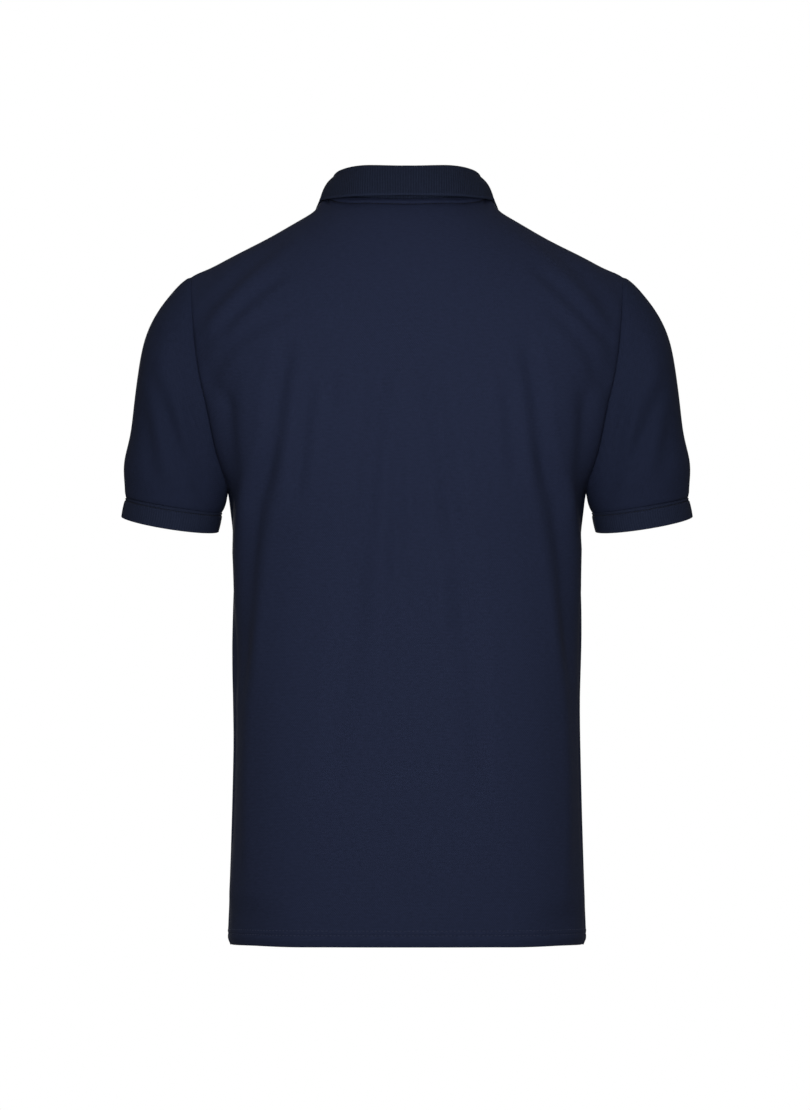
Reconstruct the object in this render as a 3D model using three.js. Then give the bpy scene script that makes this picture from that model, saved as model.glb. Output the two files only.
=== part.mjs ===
import * as THREE from 'three';

// A short-sleeved polo shirt in the form it takes when worn, hollow and open at neck, cuffs and hem.
// Millimetres, +Z up, the front faces -Y and X runs across. The origin lies between the shoulders,
// at the height of the high neck points.

// Walls and seams
const CLOTH = 1.5;
const RIB = 1.9;
const SEAM = 0.3;

// Heights of the body
const HEM = -737.5;
const CROTCH = -283;
const ARM_TOP = -72;
const CHEST = -150;

// Armhole: depth to each side of the shoulder line, and the oval that it follows
const ARM_MIDDLE = (CROTCH + ARM_TOP) / 2;
const ARM_RISE = (ARM_TOP - CROTCH) / 2;
const ARM_DEPTH = { back: 47, front: 45 };
const CHEST_TURN = Math.acos((ARM_MIDDLE - CHEST) / ARM_RISE);

// Squareness of the body's sections, 2 is an ellipse
const SQUARE = 2.6;

// Neck and shoulder line. The neck is an oval, seen from above, cut out of the body's top.
const SHOULDER_TIP = 216;
const RIDGE = 2;
const SEAM_FORWARD = 8;
const SEAM_LINE = RIDGE - SEAM_FORWARD;
const NECK = { half: 78, back: 62, front: 60 };
const NECK_SHARE = NECK.half / SHOULDER_TIP;
const CLIMB = { back: 0.1, front: 1.2 };
const CLIMB_ENDS = 130;
const REACH = { back: 0.38, front: 0.33 };
const EDGE_DIP = 0.1;

// Placket: half its width and its foot as a share and a row of the front, and its layers
const SLOT_SHARE = 0.083;
const SLOT_ROW = 1 + 5 / 8;
const BAND = 1.4;
const BAND_RAISED = 1.0;
const BUTTON = { radius: 5.6, thick: 2.8, rim: 0.7, sides: 24 };
const BUTTON_ROWS = { button_top: 2.86, button_middle: 2.16, button_bottom: 1.76 };

// How many steps each piece is cut into, and the first rows above the rounded hem
const STEPS = { neck: 7, shoulder: 12, skirt: 13, arm: 8, top: 6, band: 4, sleeve: 11, cuff: 2 };
const HEM_ROWS = { rounded: 0.016, even: 0.075 };

// Cloth from the middle of a panel to its side edge, and how far each edge is drawn back: the side
// in millimetres, the top in rows, the sides of the placket bands in shares and their foot in rows
const HALF_GIRTH = 230;
const DRAWN_BACK = { side: 0.2, top: 0.0035, band: 0.0022, foot: 0.005 };

// Small steps in share, row, round and turn over which the slope of a surface is taken
const SLOPE = { share: 0.004, row: 0.01, height: 1, round: 0.005, turn: 0.01, degrees: 0.5, place: 0.02 };

// Level sections of the body: half width at the side seam, depth to the back and to the front
const BODY = [
  { z: -737.5, half: 176.5, back: 123.0, front: 129.0 },
  { z: -730.0, half: 179.0, back: 125.0, front: 131.0 },
  { z: -693.0, half: 178.0, back: 125.0, front: 131.0 },
  { z: -593.0, half: 175.0, back: 121.0, front: 127.0 },
  { z: -493.0, half: 173.0, back: 116.0, front: 124.0 },
  { z: -403.0, half: 173.0, back: 114.0, front: 124.0 },
  { z: -343.0, half: 173.0, back: 117.0, front: 126.0 },
  { z: -303.0, half: 177.0, back: 121.0, front: 128.0 },
  { z: -283.0, half: 180.0, back: 123.0, front: 128.5 },
  { z: -215.0, half: 197.0, back: 125.0, front: 126.0 },
  { z: -150.0, half: 211.0, back: 119.0, front: 112.0 },
];

// Armhole seam: distance from the middle of the body, on the back and on the front
const ARMHOLE = [
  { z: -283, back: 180.0, front: 180.0 },
  { z: -272, back: 182.3, front: 181.0 },
  { z: -244, back: 190.0, front: 185.5 },
  { z: -211, back: 197.0, front: 190.5 },
  { z: -174, back: 206.4, front: 196.5 },
  { z: -146, back: 211.0, front: 202.0 },
  { z: -124, back: 213.0, front: 207.0 },
  { z: -87, back: 217.0, front: 214.0 },
  { z: -72, back: 216.0, front: 216.0 },
];

// Shoulder ridge, from the middle of the neck out to the sleeve
const SHOULDER = [
  { x: -40, z: 23 },
  { x: 0, z: 29 },
  { x: 40, z: 23 },
  { x: 78, z: 4.5 },
  { x: 92, z: -4.5 },
  { x: 106, z: -13 },
  { x: 141, z: -33 },
  { x: 181, z: -53.5 },
  { x: 216, z: -72.8 },
];

// Sleeve: the seam ring of the cuff and the hem ring of the cuff, and the way the sleeve sets off
const CUFF_SEAM = { x: 233, y: -10, z: -297.5, across: 48.5, deep: 50, leanX: 0.156, leanY: 0.06 };
const CUFF_EDGE = { x: 237.2, y: -12.5, z: -317, across: 48.8, deep: 50.5, leanX: 0.156, leanY: 0.11 };
const CUFF_WAY = new THREE.Vector3(0.1, -0.1, -1).normalize();
const CLEAR = { way: new THREE.Vector3(0.96, 0, -0.28), gap: 0.4 };
const SET_OFF = [
  { part: 'top', x: 0.84, y: 0.0, z: -0.54, start: 70, end: 98 },
  { part: 'side', x: 0.92, y: 0.2, z: -0.36, start: 44, end: 62 },
  { part: 'under', x: 0.3, y: 0.0, z: -0.95, start: 7, end: 9 },
];

// Folds, each a soft trough or ridge along a curve through three points of the back or front view.
// Depth is negative for a trough. The same fold lies on the other half, mirrored. Each runs out past
// its ends, and none reaches the shoulder seams, the sleeve's head or the cuff.
const RUN_OUT = 0.2;
const FULLNESS = 1.6;
const FOLD_FREE = { shoulder: 4, head: 5, cuff: 6 };
const FOLDS = [
  { on: 'back', depth: -6.0, wide: 9, x: [175, 177, 174], z: [-190, -250, -318] },
  { on: 'back', depth: -5.0, wide: 10, x: [128, 146, 160], z: [-190, -320, -480] },
  { on: 'back', depth: -5.0, wide: 11, x: [152, 167, 166], z: [-350, -540, -712] },
  { on: 'back', depth: 2.2, wide: 9, x: [163, 166, 168], z: [-285, -345, -400] },
  { on: 'back', depth: -2.0, wide: 12, x: [30, 40, 66], z: [-185, -310, -530] },
  { on: 'back', depth: 2.4, wide: 11, x: [187, 190, 184], z: [-100, -140, -190] },
  { on: 'back', depth: -2.2, wide: 9, x: [128, 160, 192], z: [-36, -62, -100] },
  { on: 'front', depth: -6.0, wide: 9, x: [170, 174, 173], z: [-185, -245, -318] },
  { on: 'front', depth: -4.5, wide: 11, x: [120, 140, 150], z: [-200, -330, -500] },
  { on: 'front', depth: -5.0, wide: 12, x: [146, 160, 164], z: [-400, -560, -712] },
  { on: 'front', depth: -2.2, wide: 14, x: [44, 62, 84], z: [-260, -420, -620] },
  { on: 'front', depth: -2.0, wide: 9, x: [120, 150, 182], z: [-40, -72, -120] },
  { on: 'sleeve', depth: -3.0, wide: 8, x: [254, 232, 212], z: [-180, -240, -280] },
  { on: 'sleeve', depth: -2.4, wide: 8, x: [262, 257, 252], z: [-205, -240, -275] },
  { on: 'sleeve', depth: -2.6, wide: 7, x: [222, 212, 204], z: [-200, -240, -280] },
];

// Collar: for each turn about the neck from the middle of the back, the height and inward lean of
// the stand, and where the free edge of the fall lies
const COLLAR_STAND = [
  { turn: 0, high: 32.5, lean: 7 },
  { turn: 40, high: 32.5, lean: 7.5 },
  { turn: 62, high: 31, lean: 9 },
  { turn: 90, high: 28, lean: 11 },
  { turn: 130, high: 24, lean: 7 },
  { turn: 177, high: 15, lean: 3 },
];
const COLLAR_FALL = [
  { turn: 0, x: 0, y: 71, z: 13.5 },
  { turn: 35, x: 49, y: 62, z: 12.0 },
  { turn: 62, x: 75, y: 38, z: 9.0 },
  { turn: 88, x: 87, y: 2, z: 5.0 },
  { turn: 115, x: 94, y: -39, z: -9.5 },
  { turn: 145, x: 83, y: -82, z: -44.0 },
  { turn: 177, x: 47, y: -109, z: -109.0 },
];
const COLLAR_ROWS = { stand: 4, roll: 3, fall: 4 };
const COLLAR_ENDS = { corner: 120, edge: 177, cornerSteps: 8, roundSteps: 26 };

// The foot of the stand off the neck seam, the roll at its top, and the belly of the fall
const FOOT = { up: 0.9, out: 0.2 };
const ROLL = { below: 4, across: 6.4, drop: 0.6, over: 3.6 };
const BELLY = { place: 0.45, out: 2.5, up: 1.5 };

// Colours
const NAVY = new THREE.MeshStandardMaterial({ color: 0x202537, roughness: 0.85, metalness: 0 });
const NAVY_RIB = new THREE.MeshStandardMaterial({ color: 0x1f2436, roughness: 0.85, metalness: 0 });
const NAVY_BUTTON = new THREE.MeshStandardMaterial({ color: 0x1b2033, roughness: 0.35, metalness: 0 });

// A smooth curve through a table's rows: the value of one column at a place along another
function read(table, along, at, column) {
  const last = table.length - 1;
  const slope = (i) => {
    const a = table[Math.max(i - 1, 0)];
    const b = table[Math.min(i + 1, last)];
    return (b[column] - a[column]) / (b[along] - a[along]);
  };
  if (at <= table[0][along]) return table[0][column];
  if (at >= table[last][along]) return table[last][column];
  const i = table.findIndex((row, k) => k < last && at <= table[k + 1][along]);
  const span = table[i + 1][along] - table[i][along];
  const t = (at - table[i][along]) / span;
  const rise = 3 * t * t - 2 * t * t * t;
  const bend = slope(i) * t * (1 - t) * (1 - t) - slope(i + 1) * t * t * (1 - t);
  return table[i][column] * (1 - rise) + table[i + 1][column] * rise + span * bend;
}

const mix = (a, b, t) => a + (b - a) * t;
const clamp = (v) => Math.min(Math.max(v, 0), 1);
const smooth = (v) => clamp(v) * clamp(v) * (3 - 2 * clamp(v));

function bezier(a, b, c, d, t) {
  const u = 1 - t;
  return a.clone().multiplyScalar(u * u * u)
    .addScaledVector(b, 3 * u * u * t)
    .addScaledVector(c, 3 * u * t * t)
    .addScaledVector(d, t * t * t);
}

// Height of the folds at a place of the back or front view
function foldAt(on, x, z) {
  let height = 0;
  for (const fold of FOLDS) {
    if (fold.on !== on) continue;
    const length = fold.z[2] - fold.z[0];
    const t = (z - fold.z[0]) / length;
    if (t < -RUN_OUT || t > 1 + RUN_OUT) continue;
    const middle = (fold.z[1] - fold.z[0]) / length;
    const a = fold.x[0];
    const c = fold.x[2];
    const bow = (fold.x[1] - mix(a, c, middle)) / (middle * (1 - middle));
    const line = mix(a, c, t) + bow * t * (1 - t);
    const away = (Math.abs(x) - line) / fold.wide;
    const fade = Math.sin(Math.PI * clamp((t + RUN_OUT) / (1 + 2 * RUN_OUT)));
    height += fold.depth * Math.exp(-away * away) * Math.min(1, FULLNESS * fade);
  }
  return height;
}

// A point of the body at a turn from the middle of the back or front, at one height
function bodyPoint(side, share, z) {
  const above = z > CROTCH;
  const half = above ? read(ARMHOLE, 'z', z, side) : read(BODY, 'z', z, 'half');
  const depth = read(BODY, 'z', z, side);
  const rise = clamp(1 - ((z - ARM_MIDDLE) / ARM_RISE) ** 2);
  const edge = above ? ARM_DEPTH[side] * Math.sqrt(rise) : 0;
  const wide = half / (1 - (edge / depth) ** SQUARE) ** (1 / SQUARE);
  const opened = (Math.PI / 2 - Math.atan2(half, edge)) * share ** 4;
  const turn = share * Math.PI / 2 - Math.sign(share) * opened;
  return { depth, wide, turn };
}

function onSection(side, section, turn, z) {
  const s = Math.abs(Math.sin(turn)) / section.wide;
  const c = Math.abs(Math.cos(turn)) / section.depth;
  const reach = (s ** SQUARE + c ** SQUARE) ** (-1 / SQUARE);
  const out = side === 'back' ? 1 : -1;
  return new THREE.Vector3(reach * Math.sin(turn), out * reach * Math.cos(turn), z);
}

// The line where back and front meet over the shoulders, and the way the cloth runs into it
function topEdge(side, share) {
  const x = SHOULDER_TIP * share;
  const toFront = side === 'back' ? -1 : 1;
  const climb = CLIMB[side] * (1 - smooth(Math.abs(x) / CLIMB_ENDS));
  const way = new THREE.Vector3(0, toFront * Math.cos(climb), Math.sin(climb) + toFront * EDGE_DIP);
  return { point: new THREE.Vector3(x, SEAM_LINE, read(SHOULDER, 'x', Math.abs(x), 'z')), way };
}

function upperCurve(side, share) {
  const low = onBody(side, share, CHEST);
  const rising = low.clone().sub(onBody(side, share, CHEST - SLOPE.height)).normalize();
  const { point, way } = topEdge(side, share);
  const reach = point.distanceTo(low) * REACH[side];
  const b = low.clone().addScaledVector(rising, reach);
  const c = point.clone().addScaledVector(way, -reach);
  return (t) => bezier(low, b, c, point, t);
}

// How far up its curve a column of the panel goes before the neck's oval cuts it
function neckCut(side, share, curve) {
  if (Math.abs(share) >= NECK_SHARE) return 1;
  let low = 0;
  let high = 1;
  for (let k = 0; k < 30; k += 1) {
    const t = (low + high) / 2;
    const { x, y } = curve(t);
    const inside = (x / NECK.half) ** 2 + ((y - SEAM_LINE) / NECK[side]) ** 2 < 1;
    if (inside) high = t;
    else low = t;
  }
  return low;
}

// The neck seam, by the turn from the middle of the back
function neckPoint(turn) {
  const side = turn <= Math.PI / 2 ? 'back' : 'front';
  return smoothPoint(side, NECK_SHARE * Math.sin(turn), 3);
}

// A point of the smooth back or front. Share runs from -1 to 1 between the side edges. Row runs
// from 0 at the hem to 1 at the underarm, 2 at the chest line and 3 at the neck and shoulders.
function rowHeight(row) {
  if (row <= 1) return mix(HEM, CROTCH, row);
  return ARM_MIDDLE - ARM_RISE * Math.cos((row - 1) * CHEST_TURN);
}

function onBody(side, share, z) {
  const section = bodyPoint(side, share, z);
  return onSection(side, section, section.turn, z);
}

function smoothPoint(side, share, row) {
  if (row <= 2) return onBody(side, share, rowHeight(row));
  const curve = upperCurve(side, share);
  return curve((row - 2) * neckCut(side, share, curve));
}

function outward(side, share, row) {
  const step = SLOPE.share;
  const rise = SLOPE.height;
  let along;
  let up;
  if (row <= 2) {
    const z = rowHeight(row);
    const here = bodyPoint(side, share, z);
    const above = bodyPoint(side, share, z + rise);
    const below = bodyPoint(side, share, z - rise);
    along = onSection(side, here, here.turn + step, z).sub(onSection(side, here, here.turn - step, z));
    const lower = onSection(side, below, here.turn, z - rise);
    up = onSection(side, above, here.turn, z + rise).sub(lower);
  } else {
    const a = Math.min(share + step, 1);
    const b = Math.max(share - step, -1);
    along = smoothPoint(side, a, row).sub(smoothPoint(side, b, row));
    const lower = smoothPoint(side, share, row - SLOPE.row);
    up = smoothPoint(side, share, Math.min(row + SLOPE.row, 3)).sub(lower);
  }
  const normal = along.cross(up).normalize();
  return side === 'back' ? normal.negate() : normal;
}

// The cloth's outer face: the smooth point with its folds, and the way out of the cloth
function panelPoint(side, share, row) {
  const normal = outward(side, share, row);
  const point = smoothPoint(side, share, row);
  const height = foldAt(side, point.x, point.z) * clamp((3 - row) * FOLD_FREE.shoulder);
  return { point: point.addScaledVector(normal, height), normal };
}

// A wall from a net of outer points with normals: both faces and every open edge
function wall(net, thick, { closed = false, keep = () => true, raised = 0 } = {}) {
  const rows = net.length;
  const columns = net[0].length;
  const positions = [];
  const index = [];
  for (const depth of [raised, raised - thick]) {
    for (const row of net) {
      for (const { point, normal } of row) {
        positions.push(...point.clone().addScaledVector(normal, depth).toArray());
      }
    }
  }
  const inner = rows * columns;
  const spans = closed ? columns : columns - 1;
  const has = (i, j) => {
    if (i < 0 || i >= rows - 1) return false;
    if (!closed && (j < 0 || j >= spans)) return false;
    return keep(i, (j + spans) % spans);
  };
  const at = (i, j) => i * columns + (j % columns);
  const quad = (a, b, c, d) => index.push(a, b, c, a, c, d);
  for (let i = 0; i < rows - 1; i += 1) {
    for (let j = 0; j < spans; j += 1) {
      if (!has(i, j)) continue;
      const [a, b, c, d] = [at(i, j), at(i, j + 1), at(i + 1, j + 1), at(i + 1, j)];
      quad(a, b, c, d);
      quad(a + inner, d + inner, c + inner, b + inner);
      if (!has(i - 1, j)) quad(a, a + inner, b + inner, b);
      if (!has(i + 1, j)) quad(c, c + inner, d + inner, d);
      if (!has(i, j - 1)) quad(d, d + inner, a + inner, a);
      if (!has(i, j + 1)) quad(b, b + inner, c + inner, c);
    }
  }
  const used = new Map();
  const kept = [];
  const order = index.map((v) => {
    if (!used.has(v)) {
      used.set(v, used.size);
      kept.push(...positions.slice(3 * v, 3 * v + 3));
    }
    return used.get(v);
  });
  const geometry = new THREE.BufferGeometry();
  geometry.setAttribute('position', new THREE.Float32BufferAttribute(kept, 3));
  geometry.setIndex(outwardFacing(kept, order));
  geometry.computeVertexNormals();
  return geometry;
}

// Turn every face round if the body they close has its faces pointing in
function outwardFacing(positions, order) {
  let volume = 0;
  const p = (v) => new THREE.Vector3(positions[3 * v], positions[3 * v + 1], positions[3 * v + 2]);
  for (let k = 0; k < order.length; k += 3) {
    volume += p(order[k]).dot(p(order[k + 1]).cross(p(order[k + 2])));
  }
  if (volume > 0) return order;
  return order.map((v, k) => [order[k], order[k + 1], order[k - 1]][k % 3]);
}

function steps(from, to, count) {
  return Array.from({ length: count + 1 }, (unused, k) => mix(from, to, k / count));
}

// Rows and columns of a panel
function panelRows() {
  const skirt = [0, HEM_ROWS.rounded, ...steps(HEM_ROWS.even, 1, STEPS.skirt)];
  const arm = steps(1, 2, STEPS.arm).slice(1);
  const top = steps(2, 3, STEPS.top).slice(1);
  return [...skirt, ...arm, ...top];
}

function panelShares(slot) {
  const start = slot ? Math.asin(slot / NECK_SHARE) : 0;
  const count = slot ? STEPS.neck - 1 : STEPS.neck;
  const around = steps(start, Math.PI / 2, count).map((turn) => NECK_SHARE * Math.sin(turn));
  const half = slot ? [0, ...around] : around;
  const outer = steps(NECK_SHARE, 1, STEPS.shoulder).slice(1);
  const right = [...half, ...outer];
  return [...right.slice(1).reverse().map((v) => -v), ...right];
}

// A panel's point with its edges drawn back from the seams
function trimmed(side, share, row) {
  const drawn = share * (1 - DRAWN_BACK.side / HALF_GIRTH);
  const top = row === 3 ? 3 - DRAWN_BACK.top : row;
  return panelPoint(side, drawn, top);
}

function back() {
  const shares = panelShares();
  return wall(panelRows().map((row) => shares.map((share) => trimmed('back', share, row))), CLOTH);
}

function front() {
  const shares = panelShares(SLOT_SHARE);
  const rows = panelRows();
  const foot = rows.findIndex((row) => Math.abs(row - SLOT_ROW) < 1e-6);
  const middle = (shares.length - 1) / 2;
  const keep = (i, j) => i < foot || j < middle - 1 || j > middle;
  return wall(rows.map((row) => shares.map((share) => trimmed('front', share, row))), CLOTH, { keep });
}

// Armhole ring, from the shoulder round by the back, the underarm and the front
function armholePoint(place) {
  const round = (place + 1) % 1;
  const side = round <= 0.5 ? 'back' : 'front';
  const turn = Math.PI * Math.abs(1 - 2 * round);
  const row = turn < CHEST_TURN ? 1 + turn / CHEST_TURN : 2 + (turn - CHEST_TURN) / (Math.PI - CHEST_TURN);
  return smoothPoint(side, 1, row);
}

function cuffPoint(ring, round) {
  const angle = 2 * Math.PI * round;
  const x = ring.across * Math.cos(angle);
  const y = ring.deep * Math.sin(angle);
  return new THREE.Vector3(ring.x + x, ring.y + y, ring.z + ring.leanX * x - ring.leanY * y);
}

// A value that is given at the top, the sides and under the sleeve, at any place round it
function roundValue(key, round) {
  const [top, side, under] = SET_OFF.map((row) => row[key]);
  const c = Math.cos(2 * Math.PI * round);
  return side + ((top - under) / 2) * c + ((top + under) / 2 - side) * c * c;
}

function smoothSleeve(round, along) {
  const away = Math.sin(2 * Math.PI * round) * SET_OFF[1].y;
  const way = new THREE.Vector3(roundValue('x', round), away, roundValue('z', round)).normalize();
  const a = armholePoint(round).addScaledVector(CLEAR.way, CLEAR.gap);
  const b = a.clone().addScaledVector(way, roundValue('start', round));
  const d = cuffPoint(CUFF_SEAM, round).addScaledVector(CUFF_WAY, -SEAM / 2);
  const c = d.clone().addScaledVector(CUFF_WAY, -roundValue('end', round));
  return bezier(a, b, c, d, along);
}

function sleevePoint(round, along) {
  const step = SLOPE.round;
  const across = smoothSleeve(round + step, along).sub(smoothSleeve(round - step, along));
  const lower = Math.min(along + step, 1);
  const upper = Math.max(along - step, 0);
  const down = smoothSleeve(round, lower).sub(smoothSleeve(round, upper));
  const normal = down.cross(across).normalize();
  const point = smoothSleeve(round, along);
  const level = Math.abs(Math.sin(2 * Math.PI * round));
  const free = clamp((1 - along) * FOLD_FREE.cuff) * clamp(along * FOLD_FREE.head);
  const height = foldAt('sleeve', point.x, point.z) * level * free;
  return { point: point.addScaledVector(normal, height), normal };
}

// Places round the sleeve, one for each row of the panels along the armhole
function sleeveRounds() {
  const rows = panelRows().filter((row) => row >= 1);
  const turns = rows.map((row) => (row <= 2 ? (row - 1) * CHEST_TURN : mix(CHEST_TURN, Math.PI, row - 2)));
  const behind = turns.map((turn) => (1 - turn / Math.PI) / 2).reverse();
  const ahead = turns.slice(1, -1).map((turn) => (1 + turn / Math.PI) / 2);
  return [...behind, ...ahead];
}

function mirrored(geometry) {
  const other = geometry.clone();
  other.scale(-1, 1, 1);
  const order = Array.from(other.index.array);
  other.setIndex(order.map((v, k) => [v, order[k + 1], order[k - 1]][k % 3]));
  return other;
}

function sleeve() {
  const rows = steps(0, 1, STEPS.sleeve);
  const net = rows.map((along) => sleeveRounds().map((round) => sleevePoint(round, along)));
  return wall(net, CLOTH, { closed: true });
}

function cuff() {
  const net = steps(0, 1, STEPS.cuff).map((along) => sleeveRounds().map((round) => {
    const top = cuffPoint(CUFF_SEAM, round).addScaledVector(CUFF_WAY, SEAM / 2);
    const low = cuffPoint(CUFF_EDGE, round);
    const point = top.lerp(low, along);
    const x = point.x - mix(CUFF_SEAM.x, CUFF_EDGE.x, along);
    const y = point.y - mix(CUFF_SEAM.y, CUFF_EDGE.y, along);
    const normal = new THREE.Vector3(x, y, 0).normalize();
    return { point, normal };
  }));
  return wall(net, RIB, { closed: true });
}

// Collar: up the stand from the neck seam, over the roll and down the fall to the free edge
function collarPoint(turn, place) {
  const degrees = Math.abs(turn);
  const angle = THREE.MathUtils.degToRad(degrees);
  const seam = neckPoint(angle);
  const ahead = neckPoint(angle + SLOPE.turn).sub(neckPoint(angle - SLOPE.turn)).normalize();
  const out = new THREE.Vector3(-ahead.y, ahead.x, 0).normalize();
  if (out.dot(new THREE.Vector3(seam.x, seam.y, 0)) < 0) out.negate();
  const up = new THREE.Vector3().crossVectors(out, ahead).normalize();
  if (up.z < 0) up.negate();
  const high = read(COLLAR_STAND, 'turn', degrees, 'high');
  const lean = read(COLLAR_STAND, 'turn', degrees, 'lean');
  const foot = seam.clone().addScaledVector(up, FOOT.up).addScaledVector(out, FOOT.out);
  const rollIn = seam.clone().addScaledVector(up, high - ROLL.below).addScaledVector(out, -lean);
  const rollOut = rollIn.clone().addScaledVector(out, ROLL.across).addScaledVector(up, -ROLL.drop);
  const edge = new THREE.Vector3(
    read(COLLAR_FALL, 'turn', degrees, 'x'),
    read(COLLAR_FALL, 'turn', degrees, 'y'),
    read(COLLAR_FALL, 'turn', degrees, 'z'),
  );
  let point;
  if (place <= 1) point = foot.lerp(rollIn, place);
  else if (place <= 2) {
    const over = Math.PI * (place - 1);
    point = rollIn.clone().lerp(rollOut, (1 - Math.cos(over)) / 2);
    point.addScaledVector(up, ROLL.over * Math.sin(over));
  } else {
    const t = place - 2;
    const belly = rollOut.clone().lerp(edge, BELLY.place);
    belly.addScaledVector(out, BELLY.out).addScaledVector(up, BELLY.up);
    const a = rollOut.multiplyScalar((1 - t) * (1 - t));
    point = a.addScaledVector(belly, 2 * t * (1 - t)).addScaledVector(edge, t * t);
  }
  if (turn < 0) point.x *= -1;
  return point;
}

function collar() {
  const { corner, edge, cornerSteps, roundSteps } = COLLAR_ENDS;
  const turns = [
    ...steps(-edge, -corner, cornerSteps),
    ...steps(-corner, corner, roundSteps).slice(1),
    ...steps(corner, edge, cornerSteps).slice(1),
  ];
  const places = [
    ...steps(0, 1, COLLAR_ROWS.stand),
    ...steps(1, 2, COLLAR_ROWS.roll).slice(1),
    ...steps(2, 3, COLLAR_ROWS.fall).slice(1),
  ];
  const net = places.map((place) => turns.map((turn) => {
    const a = collarPoint(Math.min(turn + SLOPE.degrees, edge), place);
    const b = collarPoint(Math.max(turn - SLOPE.degrees, -edge), place);
    const c = collarPoint(turn, Math.min(place + SLOPE.place, 3));
    const d = collarPoint(turn, Math.max(place - SLOPE.place, 0));
    const normal = c.sub(d).cross(a.sub(b)).normalize();
    return { point: collarPoint(turn, place).addScaledVector(normal, -RIB / 2), normal };
  }));
  return wall(net, RIB, { raised: RIB / 2 });
}

// Placket bands: the front's own points, moved out or in
function band(raised) {
  const inset = SLOT_SHARE - DRAWN_BACK.band;
  const foot = SLOT_ROW + DRAWN_BACK.foot;
  const rows = [...steps(foot, 2, STEPS.band), ...steps(2, 3 - DRAWN_BACK.top, STEPS.top).slice(1)];
  const net = rows.map((row) => [-inset, 0, inset].map((share) => panelPoint('front', share, row)));
  return wall(net, BAND, { raised });
}

function button(row) {
  const { radius, thick, rim, sides } = BUTTON;
  const profile = [
    [0, 0], [radius - rim, 0], [radius, rim], [radius, thick - rim],
    [radius - rim, thick], [radius - 2 * rim, thick], [radius - 3 * rim, thick - rim], [0, thick - rim],
  ];
  const geometry = new THREE.LatheGeometry(profile.map(([x, y]) => new THREE.Vector2(x, y)), sides);
  const { point, normal } = panelPoint('front', 0, row);
  geometry.applyQuaternion(new THREE.Quaternion().setFromUnitVectors(new THREE.Vector3(0, 1, 0), normal));
  const seat = point.addScaledVector(normal, BAND_RAISED + SEAM);
  geometry.translate(seat.x, seat.y, seat.z);
  return geometry;
}

// The shirt
const shirt = new THREE.Group();

function add(name, geometry, material) {
  const mesh = new THREE.Mesh(geometry, material);
  mesh.name = name;
  shirt.add(mesh);
}

const left = sleeve();
const cuffLeft = cuff();
add('back', back(), NAVY);
add('front', front(), NAVY);
add('sleeve_left', left, NAVY);
add('sleeve_right', mirrored(left), NAVY);
add('cuff_left', cuffLeft, NAVY_RIB);
add('cuff_right', mirrored(cuffLeft), NAVY_RIB);
add('collar', collar(), NAVY_RIB);
add('placket_upper', band(BAND_RAISED), NAVY);
add('placket_lower', band(BAND_RAISED - BAND - SEAM), NAVY);
for (const [name, row] of Object.entries(BUTTON_ROWS)) add(name, button(row), NAVY_BUTTON);

export default shirt;
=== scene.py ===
import math

import bmesh
import bpy
import numpy as np
from mathutils import Matrix, Vector


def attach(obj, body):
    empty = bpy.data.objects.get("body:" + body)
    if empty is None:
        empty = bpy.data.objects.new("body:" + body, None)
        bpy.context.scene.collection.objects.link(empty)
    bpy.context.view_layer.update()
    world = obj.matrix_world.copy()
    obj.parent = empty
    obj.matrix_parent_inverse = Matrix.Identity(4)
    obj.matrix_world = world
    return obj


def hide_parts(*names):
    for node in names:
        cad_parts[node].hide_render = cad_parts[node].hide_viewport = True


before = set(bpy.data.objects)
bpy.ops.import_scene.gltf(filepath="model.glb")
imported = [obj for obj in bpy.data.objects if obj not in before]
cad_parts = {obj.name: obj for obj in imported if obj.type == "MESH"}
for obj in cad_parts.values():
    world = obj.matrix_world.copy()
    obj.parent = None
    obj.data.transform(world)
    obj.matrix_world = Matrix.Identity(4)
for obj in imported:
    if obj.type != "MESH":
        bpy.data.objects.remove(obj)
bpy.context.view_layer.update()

# The dressed polo shirt. Tables and sizes are in millimetres and are turned into metres as each
# mesh is made. +Z up, the front faces -Y, X runs across.
MM = 0.001

# Body, as cut
HEM, CROTCH, ARM_TOP, CHEST = -737.5, -283.0, -72.0, -150.0
ARM_MIDDLE = (CROTCH + ARM_TOP) / 2
ARM_RISE = (ARM_TOP - CROTCH) / 2
ARM_DEPTH = {"back": 47.0, "front": 45.0}
CHEST_TURN = math.acos((ARM_MIDDLE - CHEST) / ARM_RISE)
SQUARE = 2.6
SHOULDER_TIP = 216.0
SEAM_LINE = -6.0
NECK_HALF = 78.0
NECK_DEPTH = {"back": 62.0, "front": 60.0}
NECK_SHARE = NECK_HALF / SHOULDER_TIP
CLIMB = {"back": 0.1, "front": 1.2}
CLIMB_ENDS = 130.0
REACH = {"back": 0.38, "front": 0.33}

# Walls and placket
CLOTH = 1.3
RIB = 1.9
SLOT_SHARE = 0.083
SLOT_ROW = 1 + 5 / 8
BAND_RAISED = 1.0
BUTTON_ROWS = {"button_top": 2.86, "button_middle": 2.16, "button_bottom": 1.76}
BAND_APART = 1.7
BAND_ROWS, BAND_COLUMNS = 22, 15
# Button: its outline from the middle of the back round to the middle of the face, and its holes
BUTTON_PROFILE = [
    (0.0, 0.0), (4.6, 0.0), (5.6, 0.7), (5.6, 1.5), (5.2, 2.0), (4.6, 2.1), (3.8, 1.7), (0.0, 1.5),
]
BUTTON_OFF = 0.3
HOLE_OUT, HOLE_RADIUS, HOLE_HEIGHT, THREAD_HEIGHT = 1.1, 0.75, 1.55, 1.8

# Half of the body's girth, and how near a side edge the folds die out
HALF_GIRTH = 230.0
SEAM_FREE = 8.0
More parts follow.
